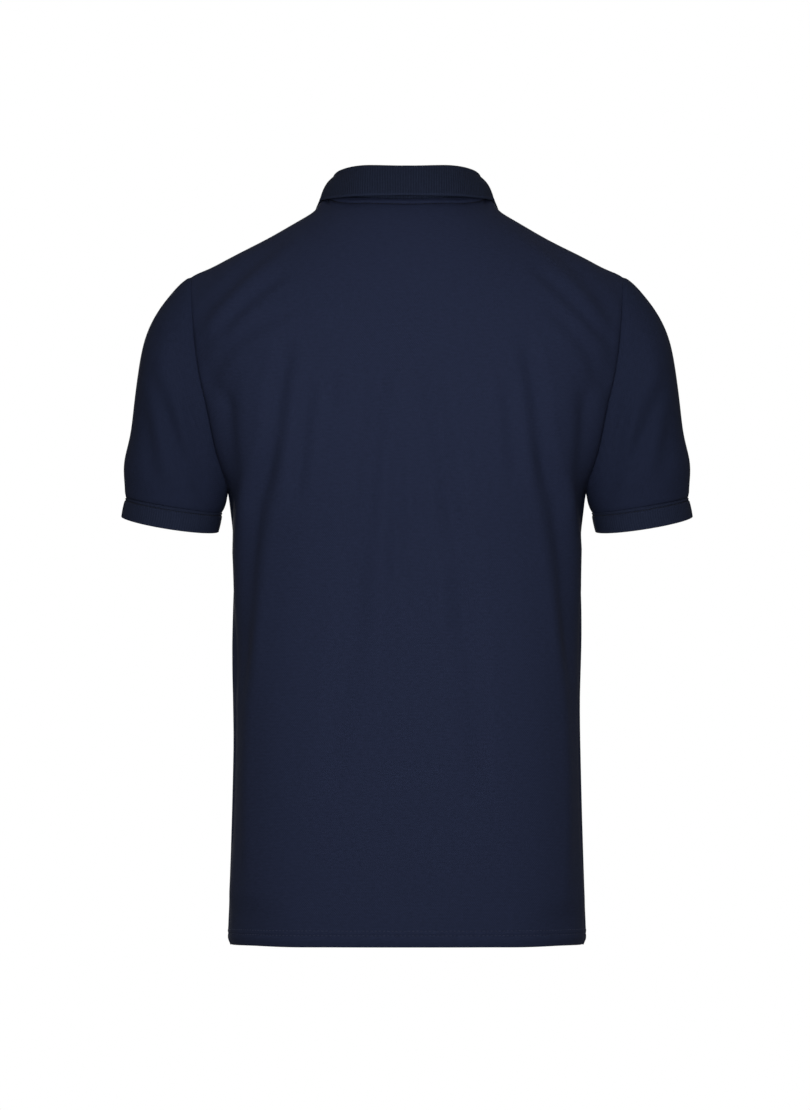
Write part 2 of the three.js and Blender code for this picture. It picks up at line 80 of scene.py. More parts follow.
# How far the cloth beside the armhole seam is puffed out, and over what width
PUFF = {"back": 6.0, "front": 3.0}
PUFF_WIDE = 30.0
# How far the shoulder's tip is lifted, where, and over what width
TIP_LIFT, TIP_OUT, TIP_WIDE = 2.6, 214.0, 14.0
# How far the side edge of the back is tucked under the front, inwards and forwards
TUCK_IN, TUCK_AHEAD = 0.9, 1.4
# Seam lines drawn in the cloth, each a depth and a half width
SIDE_LINE, SHOULDER_LINE, HEM_LINE = (0.3, 2.4), (0.4, 1.6), (0.5, 1.1)
ARMHOLE_LINE, CUFF_LINE = (0.3, 1.8), (0.9, 2.6)
# Upper rows of a panel turn to the net's own normals from here, over this many rows
OWN_NORMALS, OWN_NORMALS_OVER = 1.9, 0.2
# Row of a panel from which its net is finer, up to the top edge
TOP_FINE = 2.94

# Hem: the two rows of stitches above the edge
HEM_STITCHES = (11.5, 16.6)
HEM_DEPTH = 18.0
HEM_RAISED = 0.45

# Neck seam: the raised edge above its row of stitches
NECK_STITCHES = 3.6
NECK_RAISED = 0.8
NECK_GROOVE, NECK_GROOVE_WIDE, NECK_STEP = 1.5, 1.3, 1.2
# How far the neck edge stands up behind the collar, at the middle and at the corners
NECK_OVERLAP = {"back": (0.4, 4.0), "front": (0.0, 4.0)}
CORNER_FROM, CORNER_OVER = 44.0, 34.0
# The neck line stands lower at its sides: drop at this distance from the middle
NECK_LINE_DROP, NECK_LINE_AT = 2.2, 50.0
# How far the shoulder climbs beside the collar, where, and over what width
NECK_CLIMB, CLIMB_OUT, CLIMB_WIDE = 6.2, 84.0, 6.0
# How far down from the shoulder seam its lifts die out
LIFT_FADE = 24.0

# Cuff: its depth and how far its stitches lie below the seam
CUFF_DEPTH = 20.0
CUFF_STITCHES = 3.0
# Sleeve: bulges of the outer cloth below the seam and above the cuff, and of the under side, each a
# height, its distance from the nearer edge and a half width
SLEEVE_HEAD, SLEEVE_MIDDLE = (1.2, 8.0, 16.0), (2.0, 74.0, 34.0)
SLEEVE_OUTER, SLEEVE_UNDER = (4.6, 32.0, 24.0), (1.4, 10.0, 9.0)

# Stitches: length, gap and thickness
HEM_STITCH = (3.0, 1.1, 0.6)
PLACKET_STITCH = (2.6, 0.9, 0.5)
NECK_STITCH = (2.4, 0.5, 0.9)
CUFF_STITCH = (2.4, 0.6, 1.0)

# Level sections: height, half width, depth to the back, depth to the front
BODY = np.array([
    (-737.5, 176.5, 123.0, 129.0),
    (-730.0, 179.0, 125.0, 131.0),
    (-693.0, 178.0, 125.0, 131.0),
    (-593.0, 175.0, 121.0, 127.0),
    (-493.0, 173.0, 116.0, 124.0),
    (-403.0, 173.0, 114.0, 124.0),
    (-343.0, 173.0, 117.0, 126.0),
    (-303.0, 177.0, 121.0, 128.0),
    (-283.0, 180.0, 123.0, 128.5),
    (-215.0, 197.0, 125.0, 126.0),
    (-150.0, 211.0, 119.0, 112.0),
])

# Armhole seam: height, distance out on the back, distance out on the front
ARMHOLE = np.array([
    (-283.0, 180.0, 180.0),
    (-272.0, 182.3, 181.0),
    (-244.0, 190.0, 185.5),
    (-211.0, 197.0, 190.5),
    (-174.0, 206.4, 196.5),
    (-146.0, 211.0, 202.0),
    (-124.0, 213.0, 207.0),
    (-87.0, 217.0, 214.0),
    (-72.0, 216.0, 216.0),
])

# Shoulder ridge: distance out, height
SHOULDER = np.array([
    (-40.0, 23.0),
    (0.0, 29.0),
    (40.0, 23.0),
    (78.0, 4.5),
    (92.0, -4.5),
    (106.0, -13.0),
    (141.0, -33.0),
    (181.0, -53.5),
    (216.0, -72.8),
])

# Sleeve: rings of the cuff's seam and edge, and how the cloth sets off at top, side and under
CUFF_SEAM = dict(x=233.0, y=-10.0, z=-297.5, across=48.5, deep=50.0, lean_x=0.156, lean_y=0.06)
CUFF_EDGE = dict(x=237.2, y=-12.5, z=-317.0, across=48.8, deep=50.5, lean_x=0.156, lean_y=0.11)
CUFF_WAY = np.array((0.1, -0.1, -1.0)) / math.sqrt(1.02)
SET_OFF = dict(
    x=(0.84, 0.92, 0.30),
    z=(-0.54, -0.36, -0.95),
    start=(70.0, 44.0, 7.0),
    end=(98.0, 62.0, 9.0),
)

# Folds: the half they lie on, depth, half width, then three places (out, height) along them.
# Left is +X. Depth is negative for a trough. Each runs out past its ends by a share of its length,
# and keeps its full depth over most of it.
RUN_OUT = 0.2
FULLNESS = 1.6
FOLDS = {
    "back": [
        ("left", -2.8, 8.5, (178, -182), (179, -240), (176, -318)),
        ("right", -2.9, 8.5, (177, -186), (178, -244), (175, -316)),
        ("left", -3.8, 8.0, (121, -150), (131, -215), (141, -270)),
        ("left", -4.4, 9.5, (141, -263), (158, -350), (167, -455)),
        ("left", -2.8, 7.0, (163, -430), (171, -520), (172, -650)),
        ("right", -3.6, 8.0, (121, -148), (130, -206), (139, -266)),
        ("right", -4.2, 9.5, (138, -260), (155, -346), (165, -440)),
        ("right", -3.0, 7.0, (161, -420), (170, -520), (172, -664)),
        ("left", 2.4, 7.0, (163, -292), (167, -345), (168, -402)),
        ("right", 2.2, 7.0, (162, -286), (166, -338), (168, -392)),
        ("left", -2.4, 7.0, (100, -190), (104, -232), (109, -284)),
        ("right", -2.0, 7.0, (100, -184), (104, -226), (108, -262)),
        ("left", -1.6, 8.0, (132, -168), (136, -190), (139, -208)),
        ("right", -1.6, 8.0, (134, -168), (137, -188), (140, -204)),
        ("left", -1.5, 6.0, (72, -168), (74, -184), (75, -200)),
        ("left", -3.4, 10.0, (26, -168), (36, -262), (39, -312)),
        ("left", -2.8, 12.0, (46, -316), (58, -440), (72, -540)),
        ("right", -3.4, 10.0, (25, -174), (37, -256), (45, -314)),
        ("right", -2.8, 12.0, (48, -318), (60, -430), (73, -552)),
        ("left", 2.2, 12.0, (26, -330), (27, -410), (26, -498)),
        ("right", 2.0, 12.0, (32, -362), (33, -400), (32, -424)),
        ("left", -2.0, 7.0, (10, -250), (11, -290), (11, -366)),
        ("right", -1.3, 6.0, (13, -254), (14, -286), (15, -320)),
        ("right", -1.6, 26.0, (3, -452), (4, -510), (5, -570)),
        ("right", -1.6, 30.0, (7, -600), (8, -650), (8, -702)),
        ("left", -1.9, 7.0, (128, -34), (152, -56), (194, -101)),
        ("left", -2.2, 6.0, (135, -76), (164, -100), (184, -124)),
        ("left", 1.8, 8.0, (140, -62), (172, -90), (202, -130)),
        ("left", -2.2, 7.0, (128, -109), (168, -134), (188, -190)),
        ("right", -1.8, 7.0, (130, -30), (172, -66), (198, -102)),
        ("right", -2.2, 6.0, (136, -68), (172, -104), (194, -130)),
        ("right", -2.0, 7.0, (152, -110), (176, -138), (190, -178)),
        ("left", 2.6, 7.0, (193, -192), (187, -234), (182, -272)),
        ("right", 2.4, 7.0, (193, -190), (187, -232), (182, -270)),
        ("left", -3.4, 26.0, (158, -700), (159, -726), (160, -764)),
        ("right", -3.6, 26.0, (159, -704), (160, -728), (160, -762)),
    ],
    "front": [
        ("left", -4.0, 9.0, (170, -184), (175, -244), (173, -318)),
        ("right", -3.8, 9.0, (171, -186), (175, -246), (173, -322)),
        ("left", -4.6, 10.0, (120, -204), (140, -330), (150, -496)),
        ("right", -4.2, 10.0, (124, -196), (141, -320), (152, -470)),
        ("left", -3.4, 26.0, (158, -700), (159, -726), (160, -764)),
        ("right", -3.2, 26.0, (158, -704), (159, -728), (160, -760)),
        ("left", -5.2, 12.0, (146, -410), (160, -560), (164, -712)),
        ("right", -5.0, 12.0, (150, -396), (161, -550), (163, -706)),
        ("left", -2.4, 13.0, (44, -262), (62, -420), (84, -622)),
        ("right", -2.2, 13.0, (48, -280), (64, -430), (80, -600)),
        ("left", 1.6, 12.0, (20, -300), (26, -430), (34, -560)),
        ("left", -2.2, 8.0, (122, -42), (150, -72), (182, -120)),
        ("right", -2.4, 8.0, (118, -40), (148, -74), (184, -124)),
        ("left", -1.8, 7.0, (96, -150), (106, -200), (112, -250)),
        ("right", -1.6, 7.0, (98, -160), (105, -206), (110, -246)),
    ],
    "sleeve": [
        ("left", -3.4, 8.0, (254, -168), (232, -232), (214, -274)),
        ("right", -3.2, 8.0, (256, -174), (233, -234), (212, -272)),
        ("left", -2.6, 7.0, (263, -200), (259, -236), (253, -272)),
        ("right", -2.2, 7.0, (264, -206), (260, -240), (255, -268)),
        ("left", -2.8, 7.0, (218, -196), (210, -238), (204, -282)),
        ("right", -2.8, 7.0, (217, -192), (210, -236), (203, -280)),
        ("left", 1.6, 9.0, (240, -130), (246, -160), (246, -190)),
        ("right", 1.6, 9.0, (241, -128), (247, -158), (247, -186)),
    ],
}

# Collar: turn about the neck, height and inward lean of the stand
COLLAR_STAND = np.array([
    (0.0, 34.2, 7.0),
    (34.0, 33.4, 7.5),
    (56.0, 32.0, 10.0),
    (90.0, 28.0, 11.0),
    (130.0, 24.0, 7.0),
    (177.0, 15.0, 3.0),
])
# Collar: turn about the neck, place of the fall's free edge
COLLAR_FALL = np.array([
    (0.0, 0.0, 66.5, 10.3),
    (35.0, 49.0, 54.5, 9.5),
    (62.0, 75.0, 26.5, 7.8),
    (76.0, 82.0, 11.0, 6.9),
    (88.0, 86.4, -1.5, 5.6),
    (115.0, 91.5, -39.0, -12.0),
    (145.0, 83.0, -82.0, -44.0),
    (177.0, 47.0, -109.0, -109.0),
])
COLLAR_END = 177.0
# Finished edge along the fall: its width and how far it is raised
COLLAR_EDGE, COLLAR_EDGE_RAISED = 2.4, 0.5
# Foot of the stand under the neck seam, then the roll over its top
FOOT_DOWN, FOOT_IN = 3.0, 2.0
ROLL_BELOW, ROLL_ACROSS, ROLL_DROP, ROLL_OVER = 4.0, 6.4, 0.6, 3.6
# Belly of the fall behind, and how much rounder it is at the sides of the neck
BELLY = {"place": 0.55, "out": 2.5, "up": 1.5}
BELLY_SIDES = {"place": 0.13, "out": 3.0, "up": 1.0}

# Knit: spacing of the pique's cells and of the ribs, in metres
PIQUE_WALE, PIQUE_COURSE = 0.0021, 0.0026
RIB_PITCH, LOOP_PITCH = 0.0026, 0.0011
# Sockets of the Mix node for colours, and the Texture Coordinate output for an object's own space
MIX_FACTOR, MIX_A, MIX_B, MIX_RESULT = 0, 6, 7, 2
OBJECT_SPACE = 3

# Camera and light
VIEW_DISTANCE = 16.0
VIEW_HEIGHT = -0.348
VIEW_ACROSS = 0.002
FRAME_HEIGHT = 1.110
SENSOR = 36
FLOOR_HEIGHT, FLOOR_HALF = -1.3, 30
FLOOR_TONE = (0.45, 0.45, 0.45, 1)
WHITE = (1, 1, 1, 1)
AMBIENT = 0.32
LIGHT_TARGET = (0, 0, -0.35)
# Lights: place, size across and power
LIGHTS = {
    "back_key": ((0, 1.3, -0.1), 0.45, 7.9),
    "back_low": ((0, 1.8, -0.35), 0.8, 2.7),
    "back_left": ((1.2, 3.0, 0.3), 1.0, 2.4),
    "back_right": ((-1.2, 3.0, 0.3), 1.0, 2.0),
    "front_left": ((0.45, -2.3, 0.0), 0.6, 14),
    "front_right": ((-0.3, -2.3, 0.1), 0.6, 12),
    "above": ((0, 0.9, 2.6), 1.4, 3),
}


# Form of the shirt

def read(table, at, column, along=0):
    """The value of one column of a table at a place along another, on a smooth curve."""
    xs, ys = table[:, along], table[:, column]
    ends = np.arange(len(xs))
    low, high = np.maximum(ends - 1, 0), np.minimum(ends + 1, len(xs) - 1)
    slopes = (ys[high] - ys[low]) / (xs[high] - xs[low])
    at = np.clip(np.asarray(at, dtype=float), xs[0], xs[-1])
    i = np.clip(np.searchsorted(xs, at, side="right") - 1, 0, len(xs) - 2)
    span = xs[i + 1] - xs[i]
    t = (at - xs[i]) / span
    rise = 3 * t ** 2 - 2 * t ** 3
    bend = slopes[i] * t * (1 - t) ** 2 - slopes[i + 1] * t ** 2 * (1 - t)
    return ys[i] * (1 - rise) + ys[i + 1] * rise + span * bend


def smooth(value):
    t = np.clip(value, 0, 1)
    return t * t * (3 - 2 * t)


def bell(away, wide):
    """A soft bump: 1 in the middle, dying out with the distance away."""
    return np.exp(-(away / wide) ** 2)


def bezier(a, b, c, d, t):
    t = np.asarray(t)[..., None]
    u = 1 - t
    return a * u ** 3 + b * 3 * u * u * t + c * 3 * u * t * t + d * t ** 3


def section(side, z):
    """A level section of the body: the place of its side edge, then its half width and depth."""
    column = 1 if side == "back" else 2
    above = z > CROTCH
    half = np.where(above, read(ARMHOLE, z, column), read(BODY, z, 1))
    depth = read(BODY, z, column + 1)
    rise = np.clip(1 - ((z - ARM_MIDDLE) / ARM_RISE) ** 2, 0, 1)
    edge = np.where(above, ARM_DEPTH[side] * np.sqrt(rise), 0)
    wide = half / (1 - (edge / depth) ** SQUARE) ** (1 / SQUARE)
    return half, edge, wide, depth


def on_body(side, share, z):
    """Points of the body's smooth form, share from -1 to 1 between the side edges."""
    share, z = np.broadcast_arrays(np.asarray(share, dtype=float), np.asarray(z, dtype=float))
    half, edge, wide, depth = section(side, z)
    opened = (math.pi / 2 - np.arctan2(half, edge)) * share ** 4
    turn = share * math.pi / 2 - np.sign(share) * opened
    s = np.abs(np.sin(turn)) / wide
    c = np.abs(np.cos(turn)) / depth
    reach = (s ** SQUARE + c ** SQUARE) ** (-1 / SQUARE)
    out = 1 if side == "back" else -1
    return np.stack((reach * np.sin(turn), out * reach * np.cos(turn), z), axis=-1)


def upper_curve(side, share):
    """The four guiding points of each column between the chest line and the shoulder line."""
    low = on_body(side, share, CHEST)
    rising = low - on_body(side, share, CHEST - 2)
    rising /= np.linalg.norm(rising, axis=-1, keepdims=True)
    x = SHOULDER_TIP * np.asarray(share, dtype=float)
    to_front = -1 if side == "back" else 1
    climb = CLIMB[side] * (1 - smooth(np.abs(x) / CLIMB_ENDS))
    way = np.stack((0 * x, to_front * np.cos(climb), np.sin(climb) + to_front * 0.1), axis=-1)
    top = np.stack((x, 0 * x + SEAM_LINE, read(SHOULDER, np.abs(x), 1)), axis=-1)
    reach = np.linalg.norm(top - low, axis=-1, keepdims=True) * REACH[side]
    return low, low + rising * reach, top - way * reach, top


def neck_cut(side, share, curve):
    """How far up its curve each column goes before the neck's oval cuts it."""
    low, high = np.zeros(np.shape(share)), np.ones(np.shape(share))
    for _ in range(30):
        t = (low + high) / 2
        p = bezier(*curve, t)
        x, y = p[..., 0], p[..., 1] - SEAM_LINE
        inside = (x / NECK_HALF) ** 2 + (y / NECK_DEPTH[side]) ** 2 < 1
        high = np.where(inside, t, high)
        low = np.where(inside, low, t)
    return np.where(np.abs(share) >= NECK_SHARE, 1.0, low)


def row_height(row):
    arm = ARM_MIDDLE - ARM_RISE * np.cos((row - 1) * CHEST_TURN)
    return np.where(row <= 1, HEM + (CROTCH - HEM) * row, arm)


def panel(side, share, row):
    """Smooth points of a panel: row 0 is the hem, 1 the underarm, 2 the chest, 3 the top edge."""
    share, row = np.broadcast_arrays(np.asarray(share, dtype=float), np.asarray(row, dtype=float))
    low = on_body(side, share, row_height(np.minimum(row, 2)))
    curve = upper_curve(side, share)
    high = bezier(*curve, np.clip(row - 2, 0, 1) * neck_cut(side, share, curve))
    return np.where((row <= 2)[..., None], low, high)


def normals(points, closed=False):
    """Unit normals of a net of points, from its own rows and columns."""
    if closed:
        wide = np.concatenate((points[:, -2:-1], points, points[:, 1:2]), axis=1)
        along = wide[:, 2:] - wide[:, :-2]
    else:
        along = np.gradient(points, axis=1)
    up = np.gradient(points, axis=0)
    normal = np.cross(along, up)
    return normal / np.maximum(np.linalg.norm(normal, axis=-1, keepdims=True), 1e-9)


def body_normals(side, points):
    """Unit normals of the body's smooth form, outwards."""
    x, y, z = np.moveaxis(points, -1, 0)

    def fullness(height):
        wide, depth = section(side, height)[2:]
        return np.abs(x / wide) ** SQUARE + np.abs(y / depth) ** SQUARE

    wide, depth = section(side, z)[2:]
    across = np.sign(x) * np.abs(x / wide) ** (SQUARE - 1) / wide * SQUARE
    deep = (1 if side == "back" else -1) * np.abs(y / depth) ** (SQUARE - 1) / depth * SQUARE
    up = (fullness(z + 4) - fullness(z - 4)) / 8
    normal = np.stack((across, deep, up), axis=-1)
    return normal / np.linalg.norm(normal, axis=-1, keepdims=True)


def seam_lift(z):
    """Share of the armhole's puff at each height."""
    share = (z - CROTCH) / (ARM_TOP - CROTCH)
    return smooth(2.2 * share) * smooth(4 * (1 - share))


def tip_lift(x, left):
    """How far the shoulder's tip is lifted, by the distance left up to it."""
    return TIP_LIFT * bell(np.abs(x) - TIP_OUT, TIP_WIDE) * bell(left, LIFT_FADE)


def trough(away):
    """Cross-section of a fold: a soft middle between two low shoulders."""
    return bell(away, 1) - 0.28 * bell(np.abs(away) - 1.9, 0.8)


def fold_height(on, x, z):
    """Height of the folds at places of the back or front view."""
    height = np.zeros(np.shape(x))
    for half, depth, wide, (xa, za), (xb, zb), (xc, zc) in FOLDS[on]:
        out = x if half == "left" else -x
        t = (z - za) / (zc - za)
        middle = (zb - za) / (zc - za)
        bow = (xb - (xa + (xc - xa) * middle)) / (middle * (1 - middle))
        line = xa + (xc - xa) * t + bow * t * (1 - t)
        slope = (xc - xa + bow * (1 - 2 * np.clip(t, 0, 1))) / (zc - za)
        away = (out - line) / np.sqrt(1 + slope ** 2) / wide
        fade = np.sin(math.pi * np.clip((t + RUN_OUT) / (1 + 2 * RUN_OUT), 0, 1))
        inside = (t > -RUN_OUT) & (t < 1 + RUN_OUT)
        height += depth * trough(away) * np.minimum(1, FULLNESS * fade) * inside
    return height


# Meshes

def lengths(points, axis):
    """Distance run along each row or column of a net, in millimetres."""
    step = np.linalg.norm(np.diff(points, axis=axis), axis=-1)
    run = np.cumsum(step, axis=axis)
    start = np.zeros_like(np.take(run, [0], axis=axis))
    return np.concatenate((start, run), axis=axis)


def cloth_mesh(name, points, closed=False, slot=None, flip=False, from_last=False):
    """A sheet of cloth: a grid that is shaped to a net of points, with its lengths as a UV map."""
    rows, columns = points.shape[:2]
    bm = bmesh.new()
    bmesh.ops.create_grid(bm, x_segments=columns - 1, y_segments=rows - 1, size=1)
    mesh = bpy.data.meshes.new(name)
    bm.to_mesh(mesh)
    bm.free()
    place = np.empty(len(mesh.vertices) * 3)
    mesh.vertices.foreach_get("co", place)
    place = place.reshape(-1, 3)
    j = np.rint((place[:, 0] + 1) / 2 * (columns - 1)).astype(int)
    i = np.rint((place[:, 1] + 1) / 2 * (rows - 1)).astype(int)
    mesh.vertices.foreach_set("co", (points[i, j] * MM).ravel())
    across, up = lengths(points, 1), lengths(points, 0)
    across = across - across[:, columns // 2][:, None]
    if from_last:
        up = up - up[-1]
    corner = np.empty(len(mesh.loops), dtype=int)
    mesh.loops.foreach_get("vertex_index", corner)
    uv = np.stack((across[i, j], up[i, j]), axis=-1)[corner] * MM
    layer = mesh.uv_layers.new(name="cloth")
    layer.data.foreach_set("uv", uv.ravel())
    bm = bmesh.new()
    bm.from_mesh(mesh)
    if slot is not None:
        low, first, last = slot
        bm.verts.ensure_lookup_table()
        left_out = [
            f for f in bm.faces
            if all(i[v.index] >= low and first <= j[v.index] <= last for v in f.verts)
        ]
        bmesh.ops.delete(bm, geom=left_out, context="FACES")
    if closed:
        bmesh.ops.remove_doubles(bm, verts=bm.verts, dist=1e-6)
    if flip:
        bmesh.ops.reverse_faces(bm, faces=bm.faces)
    for face in bm.faces:
        face.smooth = True
    bm.to_mesh(mesh)
    bm.free()
    return mesh


def piece(name, mesh, material, node=None):
    made = bpy.data.objects.new(name, mesh)
    bpy.context.scene.collection.objects.link(made)
    made.data.materials.append(material)
    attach(made, "root")
    if node:
        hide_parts(node)
    return made


def give_wall(made, thick):
    wall = made.modifiers.new("wall", "SOLIDIFY")
    wall.thickness = thick * MM
    wall.offset = -1
    wall.use_even_offset = False
    wall.use_quality_normals = True
    return made


def turned(x, y, z, place):
    """The matrix that turns and stretches to three axes and moves to a place."""
    matrix = Matrix((x, y, z)).transposed().to_4x4()
    matrix.translation = place
    return matrix


def small_mesh(name, bm):
    """The finished mesh of a small piece that was made in millimetres."""
    bmesh.ops.scale(bm, vec=(MM, MM, MM), verts=bm.verts)
    for face in bm.faces:
        face.smooth = True
    mesh = bpy.data.meshes.new(name)
    bm.to_mesh(mesh)
    bm.free()
    return mesh


def point_at(place, run, values):
    """The point of a path at a distance along it."""
    return np.array([np.interp(place, run, values[:, k]) for k in range(3)])


def stitches(name, path, outs, size, material, lift=0.1):
    """A run of stitches along a path on the cloth, each a small rounded bar."""
    length, gap, thick = size
    run = lengths(path, 0)
    count = max(int(run[-1] // (length + gap)), 1)
    bm = bmesh.new()
    for k in range(count):
        middle = (k + 0.5) * run[-1] / count
        p = point_at(middle - length / 2, run, path)
        q = point_at(middle + length / 2, run, path)
        out = point_at(middle, run, outs)
        made = bmesh.ops.create_icosphere(bm, subdivisions=1, radius=0.5)
        along = Vector(q - p).normalized()
        up = Vector(out).normalized()
        side = up.cross(along).normalized()
        up = along.cross(side)
        seat = Vector((p + q) / 2 + out * lift)
        matrix = turned(along * length, side * thick, up * thick, seat)
        bmesh.ops.transform(bm, matrix=matrix, verts=made["verts"])
    piece(name, small_mesh(name, bm), material)


# Materials

class Wire:
    """An output of a material's nodes. Sums on it add Math nodes, and node() adds any other."""

    def __init__(self, tree, socket=None):
        self.tree = tree
        self.socket = socket

    def node(self, kind, settings=None, inputs=None, out=0):
        made = self.tree.nodes.new(kind)
        for name, value in (settings or {}).items():
            setattr(made, name, value)
        for name, value in (inputs or {}).items():
            if isinstance(value, Wire):
                self.tree.links.new(value.socket, made.inputs[name])
            else:
                made.inputs[name].default_value = value
        return Wire(self.tree, made.outputs[out])

    def math(self, operation, *others):
        values = dict(enumerate((self, *others)))
        return self.node("ShaderNodeMath", {"operation": operation}, values)

    def reflected(self, operation, other):
        return self.node("ShaderNodeMath", {"operation": operation}, {0: other, 1: self})

    def __add__(self, other):
        return self.math("ADD", other)

    __radd__ = __add__

    def __sub__(self, other):
        return self.math("SUBTRACT", other)

    def __rsub__(self, other):
        return self.reflected("SUBTRACT", other)

    def __mul__(self, other):
        return self.math("MULTIPLY", other)

    __rmul__ = __mul__

    def __truediv__(self, other):
        return self.math("DIVIDE", other)

    def __pow__(self, other):
        return self.math("POWER", other)

    def cosine(self):
        return self.math("COSINE")

    def clamped(self):
        return self.node("ShaderNodeClamp", None, {"Value": self})


def linear(*levels):
    """A colour given as it shows on screen, from 0 to 255, as the shader's own values."""
    def one(level):
        c = level / 255
        return c / 12.92 if c <= 0.04045 else ((c + 0.055) / 1.055) ** 2.4
    return (*(one(level) for level in levels), 1.0)


def blended(wires, factor, a, b):
    """A colour between two others."""
    values = {MIX_FACTOR: factor, MIX_A: a, MIX_B: b}
    return wires.node("ShaderNodeMix", {"data_type": "RGBA"}, values, out=MIX_RESULT)


def knit(name, dark, light, height, roughness, depth, edge=0.0):
    """A knitted cloth. height works out the knit's relief, from 0 to 1, from the cloth's lengths.

    An edge is the width in millimetres of a band along the cloth's edge with smoother relief and a
    lighter colour.
    """
    material = bpy.data.materials.new(name)
    material.use_nodes = True
    tree = material.node_tree
    shader = tree.nodes["Principled BSDF"]
    wires = Wire(tree)
    uv = wires.node("ShaderNodeUVMap", {"uv_map": "cloth"})
    u = uv.node("ShaderNodeSeparateXYZ", None, {0: uv}, out=0)
    v = uv.node("ShaderNodeSeparateXYZ", None, {0: uv}, out=1)
    place = wires.node("ShaderNodeTexCoord", out=OBJECT_SPACE)
    fuzz = place.node("ShaderNodeTexNoise", None, {"Vector": place, "Scale": 420.0, "Detail": 3.0})
    streaked = uv.node("ShaderNodeMapping", None, {"Vector": uv, "Scale": (160.0, 560.0, 1.0)})
    streak = uv.node("ShaderNodeTexNoise", None, {"Vector": streaked, "Scale": 1.0, "Detail": 2.0})
    relief = height(u, v)
    # Colour: the knit's hollows are painted darker (painted shade in the relief), with the yarn's
    # random fuzz and streaks
    tone = relief * 0.5 + fuzz * 0.3 + streak * 0.7 - 0.25
    if edge:
        finished = ((v / (edge * MM) + 1.0) * 4.0).clamped()
        relief = relief * (1.0 - finished) + finished * 0.7
        tone = tone + finished * 0.35
    tone = tone.clamped()
    colour = blended(wires, tone, dark, light)
    bump = wires.node(
        "ShaderNodeBump", None,
        {"Height": relief + fuzz * 0.35, "Distance": depth, "Strength": 0.8},
    )
    tree.links.new(colour.socket, shader.inputs["Base Color"])
    tree.links.new(bump.socket, shader.inputs["Normal"])
    rough = fuzz * 0.12 + (roughness - 0.06)
    tree.links.new(rough.socket, shader.inputs["Roughness"])
    shader.inputs["Specular IOR Level"].default_value = 0.12
    return material


def pique_relief(u, v):
    """Staggered cells, each a small hollow with a raised rim."""
    course = v * (2 * math.pi / PIQUE_COURSE)
    cell = (u * (2 * math.pi / PIQUE_WALE)).cosine() * course.cosine()
    return cell * 0.32 + (course * 2).cosine() * 0.18 + 0.5


def rib_relief(u, v):
    """Fine upright ribs with small loops along them."""
    rib = (u * (2 * math.pi / RIB_PITCH)).cosine() * 0.5 + 0.5
    loop = (v * (2 * math.pi / LOOP_PITCH)).cosine() * 0.12
    return rib + loop


def plain(name, colour, roughness, speck):
    """A moulded or spun finish with a faint uneven tone."""
    material = bpy.data.materials.new(name)
    material.use_nodes = True
    tree = material.node_tree
    shader = tree.nodes["Principled BSDF"]
    wires = Wire(tree)
    place = wires.node("ShaderNodeTexCoord", out=OBJECT_SPACE)
    noise = place.node("ShaderNodeTexNoise", None, {"Vector": place, "Scale": speck, "Detail": 2.0})
    lighter = tuple(min(1.0, c * 1.5 + 0.002) for c in colour[:3]) + (1.0,)
    tree.links.new(blended(wires, noise, colour, lighter).socket, shader.inputs["Base Color"])
    tree.links.new((noise * 0.1 + (roughness - 0.05)).socket, shader.inputs["Roughness"])
    shader.inputs["Specular IOR Level"].default_value = 0.3
    return material


# The body's pique, the sleeves' (the same pique a shade darker: painted shade), the cuffs' rib and
# the collar's
PIQUE = knit("navy_pique", linear(25, 31, 51), linear(38, 45, 70), pique_relief, 0.9, 0.00016)
# The sleeves' pique: the body's pique with its colours darkened as painted shade
SLEEVE_PIQUE_PAINTED_SHADE = knit(
    "navy_pique_painted_shade", linear(22, 28, 47), linear(34, 41, 64.5), pique_relief, 0.9, 0.00016,
)
RIBBED = knit("navy_rib", linear(24, 30, 48), linear(34, 41, 62), rib_relief, 0.9, 0.0003)
EDGED_RIB = knit(
    "navy_collar_rib", linear(19, 25, 40), linear(33, 40, 60), rib_relief, 0.9, 0.0005, COLLAR_EDGE,
)
THREAD = plain("navy_thread", linear(42, 48, 70), 0.7, 900.0)
# Real stitches and button thread, made far darker than the cloth: painted shade of the grooves and
# holes they lie in
THREAD_PAINTED_SHADE = plain("navy_thread_painted_shade", linear(8, 10, 17), 0.8, 900.0)
BUTTON = plain("navy_button", linear(25, 29, 46), 0.42, 300.0)


# Panels

def panel_rows():
    """Rows of a panel's net: close at the hem, at the underarm and at the top edge."""
    hem = np.linspace(0, HEM_DEPTH + 4, 20) / (CROTCH - HEM)
    skirt = np.linspace(hem[-1], 1, 118)[1:]
    heights = CROTCH + (CHEST - CROTCH) * np.linspace(0, 1, 50)[1:] ** 1.4
    arm = 1 + np.arccos((ARM_MIDDLE - heights) / ARM_RISE) / CHEST_TURN
    top = np.linspace(2, TOP_FINE, 38)[1:]
    edge = np.linspace(TOP_FINE, 3, 27)[1:]
    return np.concatenate((hem, skirt, arm, top, edge))


def panel_shares(slot):
    """Columns of a panel's net, from one side edge to the other."""
    start = math.asin(SLOT_SHARE / NECK_SHARE)
    inner = np.linspace(0, SLOT_SHARE, 9) if slot else np.linspace(0, SLOT_SHARE, 7)
    around = NECK_SHARE * np.sin(np.linspace(start, math.pi / 2, 22))[1:]
    outer = np.concatenate((np.linspace(NECK_SHARE, 0.992, 58)[1:], (0.9965, 1.0)))
    right = np.concatenate((inner, around, outer))
    return np.concatenate((-right[:0:-1], right))


def neck_drop(side, x):
    """How much further from the neck edge its sewn line lies than at the middle."""
    return NECK_LINE_DROP * (np.minimum(np.abs(x), 70) / NECK_LINE_AT) ** 2 * (side == "back")


